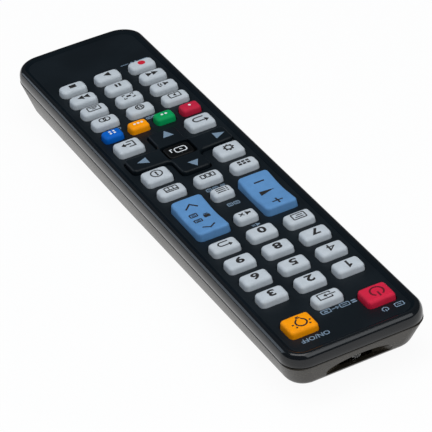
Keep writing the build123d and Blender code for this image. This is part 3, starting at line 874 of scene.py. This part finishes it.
# A ribbon along a path: each point steps aside by half the width, along the mean of the
# normals before and after it, divided by the cosine of half the bend.
def stroke(path, width=inkForm["stroke"], closed=False, levels=(inkForm["rise"], -inkForm["sink"])):
    path = np.asarray(path, float)
    path = evenSteps(np.concatenate([path, path[:1]]))[:-1] if closed else evenSteps(path)
    after = np.roll(path, -1, 0) - path
    if not closed:
        after[-1] = after[-2]
    after /= np.linalg.norm(after, axis=1, keepdims=True)
    before = np.roll(after, 1, 0)
    if not closed:
        before[0] = after[0]
    mean = after + before
    mean /= np.linalg.norm(mean, axis=1, keepdims=True)
    bend = np.clip((mean * after).sum(1), inkForm["leastBend"], 1)[:, None]
    half = np.stack([-mean[:, 1], mean[:, 0]], -1) / bend * width / 2
    left, right = path + half, path - half
    high, low = levels
    rings = np.stack([atLevel(left, high), atLevel(right, high),
                      atLevel(right, low), atLevel(left, low)], 1)
    faces = gridFaces(len(path), 4, closed).tolist()
    if not closed:
        last = 4 * (len(path) - 1)
        faces += [[0, 3, 2, 1], [last, last + 1, last + 2, last + 3]]
    return rings.reshape(-1, 3), faces


# A filled outline, as rounds drawn in to its middle in even shares.
def fill(outline):
    outline = np.asarray(outline, float)
    outline = evenSteps(np.concatenate([outline, outline[:1]]))[:-1]
    ahead = np.roll(outline, -1, 0)
    if (outline[:, 0] * ahead[:, 1] - ahead[:, 0] * outline[:, 1]).sum() < 0:
        outline = outline[::-1]
    middle = outline.mean(0)
    shares = np.array(inkForm["fillShares"])[:, None, None]
    levels = np.array([-inkForm["sink"]] + [inkForm["rise"]] * (len(shares) - 1))[:, None, None]
    rounds = middle + (outline - middle) * shares
    return shellParts(np.concatenate([rounds, np.broadcast_to(levels, rounds.shape[:2] + (1,))], -1))


def arc(x, y, radius, start=0, end=360):
    count = inkForm["arcPoints"] + int(abs(end - start) * radius / inkForm["arcShare"])
    angle = np.radians(np.linspace(start, end, count))
    return np.stack([x + radius * np.cos(angle), y + radius * np.sin(angle)], -1)


def line(*places, width=inkForm["stroke"]):
    return stroke(places, width)


def ring(x, y, radius, width=inkForm["stroke"]):
    return stroke(arc(x, y, radius)[:-1], width, True)


def box(x, y, wide, high, width=inkForm["stroke"], corner=0.3):
    return stroke(roundedOutline(wide, high, corner, 4, 1)[0] + (x, y), width, True)


def block(x, y, wide, high, corner=0.12):
    return fill(roundedOutline(wide, high, corner, 3, 1)[0] + (x, y))


def disc(x, y, radius):
    return fill(arc(x, y, radius)[:-1])


# A triangle that points in a direction, in degrees from the key's right
def head(x, y, size, turn=0, spread=0.85):
    ahead = np.array([math.cos(math.radians(turn)), math.sin(math.radians(turn))])
    across = np.array([-ahead[1], ahead[0]])
    corners = [ahead * size, across * size * spread, -across * size * spread]
    return fill(np.array([x, y]) + corners)


# A path that turns back on itself: a straight run, half a circle and a straight run
def turnBack(x, y, radius, run):
    bend = arc(x, y, radius, -90, 90)
    return np.concatenate([bend[:1] - (run, 0), bend, bend[-1:] - (run, 0)])


# Type as a solid of ink: its outlines thickened a little, scaled to a height and stretched
def figure(text, high, stretch=1.0, thicken=0.0, y=0.0):
    curve = bpy.data.curves.new("type", "FONT")
    curve.body, curve.offset = text, thicken
    curve.extrude, curve.resolution_u = inkForm["typeDepth"], inkForm["typeSteps"]
    points, faces = curveParts(curve)
    low, peak = points.min(0), points.max(0)
    scale = high / (peak[1] - low[1])
    flat = (points[:, :2] - (low + peak)[:2] / 2) * scale * (stretch, 1) + (0, y)
    level = np.where(points[:, 2:] > 0, inkForm["rise"], -inkForm["sink"])
    return np.concatenate([flat, level], 1), faces


# Several sets of points and faces as one
def joined(parts):
    faces, count = [], 0
    for points, cells in parts:
        faces += [[corner + count for corner in cell] for cell in cells]
        count += len(points)
    return np.concatenate([points for points, cells in parts]), faces


# The marks of one key as one piece: its place and the height of the top are added.
def printMarks(name, marks, finish, place, top, body):
    points, faces = joined(marks)
    points[:, 2] += top(points[:, 0], points[:, 1])
    makePiece(name, points + (*place, 0), faces, finish, body)


speaker = [(-1.9, -0.45), (-1.1, -0.45), (-0.1, -1.2), (-0.1, 1.2), (-1.1, 0.45), (-1.9, 0.45)]
bulb = np.concatenate([[(0.25, -1.3)], arc(-0.4, 0.7, 1.85, -55, 235), [(-1.05, -1.3)]])
rays = [arc(-0.4, 0.6, far, angle, angle)[0] for angle in (4, 38, 142, 176) for far in (2.65, 3.3)]
gearTeeth = [arc(0, 0, far, angle, angle)[0] for angle in range(0, 360, 45) for far in (1.2, 2.0)]
thin, bold = 0.42, 0.6  # widths of most strokes
digitForm = {"high": 3.45, "stretch": 1.32, "y": 0.1}
keyMarks = {
    "source": [line((-1.5, 0.8), (-1.5, 1.6), (2.9, 1.6), (2.9, -1.3), (-1.5, -1.3), (-1.5, -0.5),
                    width=thin), line((-3.1, 0.15), (0.2, 0.15), width=thin), head(0.1, 0.15, 1.05)],
    "light": [stroke(bulb, 0.55), line((-1.2, -1.75), (0.4, -1.75), width=0.46),
              line((-0.95, -2.35), (0.15, -2.35), width=0.46)]
             + [line(*rays[i:i + 2], width=bold) for i in range(0, 8, 2)],
    "power": [stroke(arc(-0.2, 0, 2.25, 122, 418), bold), line((-0.2, 0.3), (-0.2, 2.7), width=bold)],
    "text": [box(0, 0, 4.7, 3.1, thin), line((-1.5, 0.6), (1.5, 0.6), width=thin),
             line((-1.5, -0.5), (0.7, -0.5), width=thin)],
    "previous": [stroke(turnBack(1.0, -0.1, 1.05, 2.7), 0.48), head(-1.5, 0.95, 1.15, 180)],
    "mute": [fill(speaker), line((0.7, -0.75), (2.2, 0.75), width=thin),
             line((0.7, 0.75), (2.2, -0.75), width=thin)],
    "channel_list": [disc(-1.9, v, 0.34) for v in (-1.05, 0, 1.05)]
                    + [line((-1.2, v), (2.1, v), width=0.46) for v in (-1.05, 0, 1.05)],
    "content": [block(u, v, 1.2, 0.95) for u in (-1.6, 0, 1.6) for v in (-0.7, 0.7)],
    "menu": [box(u, 0, 1.35, 2.1, thin, 0.2) for u in (-1.85, 0, 1.85)],
    "guide": [box(0, 0, 4.5, 2.7, thin), line((-2.2, 0.55), (2.2, 0.55), width=0.46)]
             + [line((u, 0.5), (u, -1.3), width=0.36) for u in (-0.75, 0.75)],
    "tools": [ring(0, 0, 1.3, 0.62)]
             + [line(*gearTeeth[i:i + 2], width=0.68) for i in range(0, 16, 2)],
    "info": [ring(0, 0, 2.0, 0.46), block(0, -0.4, 0.65, 1.7), disc(0, 1.05, 0.4)],
    "return": [stroke(turnBack(1.1, -0.1, 1.25, 3.0), bold), head(-1.7, 1.15, 1.45, 180)],
    "exit": [line((0.3, 1.6), (-2.1, 1.6), (-2.1, -1.6), (0.3, -1.6), width=0.5),
             line((-0.9, 0), (1.5, 0), width=bold), head(1.3, 0, 1.4)],
    "media": [box(0, 0, 4.2, 2.7, thin), head(-0.5, 0, 1.15)],
    "web": [ring(0, 0, 1.5, thin), line((-1.5, 0), (1.5, 0), width=0.34),
            stroke(arc(0, 0, 1.5)[:-1] * (0.45, 1), 0.34, True)],
    "dual": [ring(-0.8, 0, 1.2, 0.46), ring(0.8, 0, 1.2, 0.46)],
    "audio": [fill(speaker), stroke(arc(-0.1, 0, 1.1, -42, 42), 0.44),
              stroke(arc(-0.1, 0, 2.0, -42, 42), 0.44)],
    "size": [block(0, 0, 1.7, 1.0)]
            + [line((u, 1.3 * v), (2.0 * u, 1.3 * v), (2.0 * u, 0.6 * v), width=0.44)
               for u in (-1, 1) for v in (-1, 1)],
    "caption": [box(0, 0, 4.6, 2.8, thin), line((-1.4, -0.55), (1.4, -0.55), width=0.46),
                line((-0.8, 0.3), (0.8, 0.3), width=0.46)],
    "rewind": [head(2.3, 0, 2.3, 180, 0.58), head(0.1, 0, 2.3, 180, 0.58)],
    "pause": [block(-0.7, 0, 0.8, 2.1), block(0.7, 0, 0.8, 2.1)],
    "forward": [head(-2.3, 0, 2.3, 0, 0.58), head(-0.1, 0, 2.3, 0, 0.58)],
    "record": [disc(0, 0, 1.4)],
    "play": [head(-1.0, 0, 2.5, 0, 0.58)],
    "stop": [block(0, 0, 2.6, 2.0)],
    "red": [disc(0, 0, 0.5)],
    "green": [disc(u, 0, 0.5) for u in (-0.75, 0.75)],
    "amber": [disc(u, 0, 0.5) for u in (-1.4, 0, 1.4)],
    "blue": [disc(u, v, 0.46) for u in (-0.75, 0.75) for v in (-0.65, 0.65)],
    "1": [line((-1.05, 0.85), (0.05, 1.7), (0.05, -1.6), width=0.74)],
}
keyMarks.update({n: [figure(n, thicken=0.034, **digitForm)] for n in "02356789"})
keyMarks["4"] = [figure("4", **digitForm)]  # not thickened, so that its mesh stays closed
keyInks = {"power": "wine", "record": "scarlet", "red": "white", "green": "white",
           "amber": "white", "blue": "white"}
for name, marks in keyMarks.items():
    x, y, top = tops["key_" + name]
    finish = paints[keyInks.get(name, "dark")]
    printMarks("print_" + name, marks, finish, (x, y), top, bodyOf["key_" + name])
print("key marks:", len(keyMarks))


# Rocker, pad and enter marks
volumeMarks = [line((-1.8, 7.9), (2.1, 7.9), width=bold), line((0.15, 6.1), (0.15, 9.7), width=bold),
               line((-1.9, -5.7), (1.9, -5.7), width=bold), fill([(-2.7, 0), (2.7, -0.7), (3.0, 1.8)])]
programmeMarks = [line((-1.8, 7.4), (0.4, 9.0), (2.7, 7.4), width=bold),
                  line((-1.8, -4.9), (0.4, -7.0), (2.7, -4.9), width=bold),
                  block(-2.0, 1.3, 2.3, 1.7, 0.2), line((-2.8, 0.0), (-1.2, 0.0), width=0.5)]
for v in (-1.1, 2.6):
    programmeMarks += [box(1.9, v, 2.6, 1.7, thin)]
    programmeMarks += [line((1.1, v + w), (2.7, v + w), width=0.3) for w in (-0.3, 0.3)]
padMarks = [head(u * far + dx, v * far, 3.9, turn, 0.51)
            for u, v, far, dx, turn in ((1, 0, 12.0, 0, 0), (0, 1, 9.4, -0.7, 90),
                                        (-1, 0, 13.8, 0, 180), (0, -1, 9.4, -0.7, 270))]
enterMarks = [box(-0.6, 0.1, 4.2, 2.9, 0.4, 0.9), line((-1.2, 0.4), (-0.3, -0.25), width=0.34),
              line((2.1, -1.3), (2.9, -1.3), (2.9, 0.5), width=0.38)]
carriedMarks = {"rocker_volume": (volumeMarks, "dark"), "rocker_programme": (programmeMarks, "dark"),
                "four_way_pad": (padMarks, "pale"), "key_enter": (enterMarks, "white")}
for node, (marks, finish) in carriedMarks.items():
    x, y, top = tops[node]
    printMarks("print_" + node, marks, paints[finish], (x, y), top, bodyOf[node])


# Marks on the satin plate, beside their keys: (x, y) and what is printed there
def miniPage(x, high=1.6):
    lines = [line((x - 0.5, v), (x + 0.5, v), width=0.22) for v in (-0.3, 0.3)]
    return [box(x, 0, 1.8, high, 0.3)] + lines


faceMarks = {
    "switch_label": (11.85, 100.4, [figure("ON/OFF", 2.0, 1.0, 0.016)]),
    "power_label": (-15.4, 100.4, [box(-2.6, 0, 3.0, 1.8, 0.34), line((-3.4, 0), (-1.8, 0), width=0.3),
                                   stroke(arc(2.4, 0, 1.0, 125, 415), 0.36),
                                   line((2.4, 0.1), (2.4, 1.2), width=0.36)]),
    "source_label": (-1.8, 90.9, [box(4.7, 0, 3.2, 1.8, 0.34), block(4.7, 0, 1.3, 0.6),
                                  line((2.6, 0), (0.4, 0), width=0.34), head(1.0, 0, 1.0, 180),
                                  box(-2.0, 0, 3.2, 1.8, 0.34), line((-2.9, 0), (-1.1, 0), width=0.3),
                                  block(-5.3, 0.5, 1.7, 0.6), block(-5.3, -0.5, 1.7, 0.6)]),
    "mute_label": (-1.36, 36.0, [fill(np.array(speaker) * 0.75), line((0.4, -0.5), (1.4, 0.5), width=0.3),
                                 line((0.4, 0.5), (1.4, -0.5), width=0.3)]),
    "list_label": (-1.0, 20.6, miniPage(-1.2) + miniPage(1.2)),
    "menu_label": (-0.5, 8.9, [line((-3.4, v), (-1.7, v), width=0.3) for v in (-0.6, 0, 0.6)]
                   + miniPage(0.2) + miniPage(2.7)),
    "web_label": (-2.2, -44.7, miniPage(-1.1, 1.2) + miniPage(1.1, 1.2)),
    "dual_label": (11.3, -44.7, [ring(-0.8, 0, 0.55, 0.28), ring(0.8, 0, 0.55, 0.28)]),
    "record_label": (-13.4, -82.6, [line((-5.4, 0), (-2.0, 0), width=0.34), disc(-0.6, 0, 0.55),
                                    disc(1.0, 0, 0.55), line((2.3, 0), (5.4, 0), width=0.34)]),
}
for name, (x, y, marks) in faceMarks.items():
    printMarks(name, marks, paints["pale"], (x, y), lambda u, v: faceHeight, "case")
print("plate marks:", len(faceMarks))


# Infrared lens, domed at the nose end and flanged at its back, and in it the chip's cup
ledForm = {
    "radius": 2.5,
    "flange": 2.9,
    "flangeThickness": 1.0,
    "backRing": 1.0,
    "axis": 9.4,
    "dome": 104.5,
    "back": 95.8,
    "lead": 0.5,
    "leadSide": 1.27,
    "leadFront": 4.2,  # in front of the lens's back, as are the cup's places
    "leadBack": 3.0,
    "leadTop": 13.5,
    "cup": [(0.3, 3.6), (1.0, 3.6), (1.15, 4.9), (0.75, 4.9), (0.3, 4.3)],  # radius and place
}


# A profile of (radius, place along y) turned about an axis along y at a height
def turned(profile, axisHeight, around=32):
    angle = np.linspace(0, 2 * math.pi, around, endpoint=False)
    radius, along = (np.asarray(v, float)[:, None] for v in zip(*profile))
    return np.stack([radius * np.sin(angle), np.broadcast_to(along, (len(profile), around)),
                     axisHeight + radius * np.cos(angle)], -1)


# A square wire from the cup back to a bend and up to the board, as a round at each. Past the
# bend its faces turn inwards: the places along there would need rise added, not taken away.
def leadParts(side, form=ledForm):
    bend = form["back"] - form["leadBack"]
    step = form["lead"] / 2 * np.array([-1, 1, 1, -1])
    rise = form["lead"] / 2 * np.array([-1, -1, 1, 1])
    rounds = [(form["back"] + form["leadFront"], form["axis"] + rise),
              (bend - rise, form["axis"] + rise), (bend - rise, form["leadTop"])]
    rings = [np.broadcast_arrays(side * form["leadSide"] + step, *places) for places in rounds]
    return shellParts(np.stack(rings).transpose(0, 2, 1))


def makeLed(form=ledForm):
    radius, back, axis = form["radius"], form["back"], form["axis"]
    turn = np.linspace(0, math.pi / 2, 10)[:-1]
    dome = np.stack([radius * np.cos(turn), form["dome"] - radius + radius * np.sin(turn)], -1)
    rim = back + form["flangeThickness"]
    profile = [(form["backRing"], back), (form["flange"], back), (form["flange"], rim), (radius, rim)]
    points, faces = shellParts(turned(profile + dome.tolist(), axis))
    makePiece("led_lens", points, faces, paints["lens"], "case", ["infrared_led"])
    cup = turned([(reach, back + place) for reach, place in form["cup"]], axis, 20)
    points, faces = joined([leadParts(-1), leadParts(1), shellParts(cup)])
    makePiece("led_leads", points, faces, paints["steel"], "case")


makeLed()
print("infrared lens and its leads")


# Parts that keep their CAD shape and get a finish
nodeFinishes = {
    "lower_case": "tray", "battery_cover": "tray", "keypad_mat": "mat", "pad_boot": "boot",
    "circuit_board": "board", "control_chip": "chip", "resonator": "ceramic", "capacitor": "can",
    "cell_left": "cellLeft", "cell_right": "cellRight", "spring_contacts": "steel",
    "plate_contacts": "steel", "case_screws": "steel",
}
for node, finish in nodeFinishes.items():
    for slot in nodes[node].material_slots:
        slot.material = paints[finish]
print("finished nodes:", len(nodeFinishes))


# Floor and light, in metres: a flat sheet of white paper, an even sky and three soft lamps
studio = {
    "floor": 3.0,
    "floorGap": 0.1 * mm,  # the paper lies this much under the resting plane
    "floorColour": (0.88, 0.88, 0.88),
    "floorShadow": 0.06,
    "sky": (0.75, 0.87, 1.0),
    "skyStrength": 0.10,
    # each lamp's place, size, power in watts and colour
    "lamps": {
        "overhead": ((0.16, 0.12, 1.05), 0.90, 8.2, (0.98, 0.99, 1.0)),
        "front": ((-0.30, 0.88, 0.75), 1.00, 6.0, (0.93, 0.97, 1.0)),
        "leftRear": ((0.74, -0.84, 0.50), 0.75, 3.0, (0.74, 0.86, 1.0)),
    },
}


# The paper glows evenly white to the camera, in reflections and through the lens, apart from
# a share that takes shadows. It lights the object as plain paper does.
def makeFloor():
    mesh = bpy.data.meshes.new("floor")
    half, level = studio["floor"] / 2, -studio["floorGap"]
    corners = [(-half, -half, level), (half, -half, level), (half, half, level), (-half, half, level)]
    mesh.from_pydata(corners, [], [(0, 1, 2, 3)])
    paint = Paint("white paper")
    seen = sum(paint.add("LightPath", output="Is " + kind + " Ray")
               for kind in ("Camera", "Glossy", "Transmission"))
    plain = paint.add("BsdfDiffuse", {}, {"Color": (*studio["floorColour"], 1)})
    glow = paint.add("Emission", {}, {"Color": (1, 1, 1, 1), "Strength": 1.0})
    factor = seen * (1 - studio["floorShadow"])
    mix = paint.add("MixShader", {}, {0: factor, 1: plain, 2: glow})
    paint.add("OutputMaterial", {}, {"Surface": mix})
    mesh.materials.append(paint.material)
    addObject("floor", mesh)


def makeSky():
    world = bpy.data.worlds.new("studio")
    bpy.context.scene.world = world
    world.use_nodes = True
    back = world.node_tree.nodes["Background"]
    back.inputs["Color"].default_value = (*studio["sky"], 1)
    back.inputs["Strength"].default_value = studio["skyStrength"]


# A square lamp at a place, looking at the origin
def makeLamp(name, place, size, power, colour):
    data = bpy.data.lights.new(name, "AREA")
    data.shape, data.size, data.energy, data.color = "SQUARE", size, power, colour
    lamp = addObject(name, data)
    lamp.location = place
    lamp.rotation_euler = (-Vector(place)).to_track_quat("-Z", "Y").to_euler()


makeFloor()
makeSky()
for lampName, settings in studio["lamps"].items():
    makeLamp(lampName, *settings)
print("studio ready")
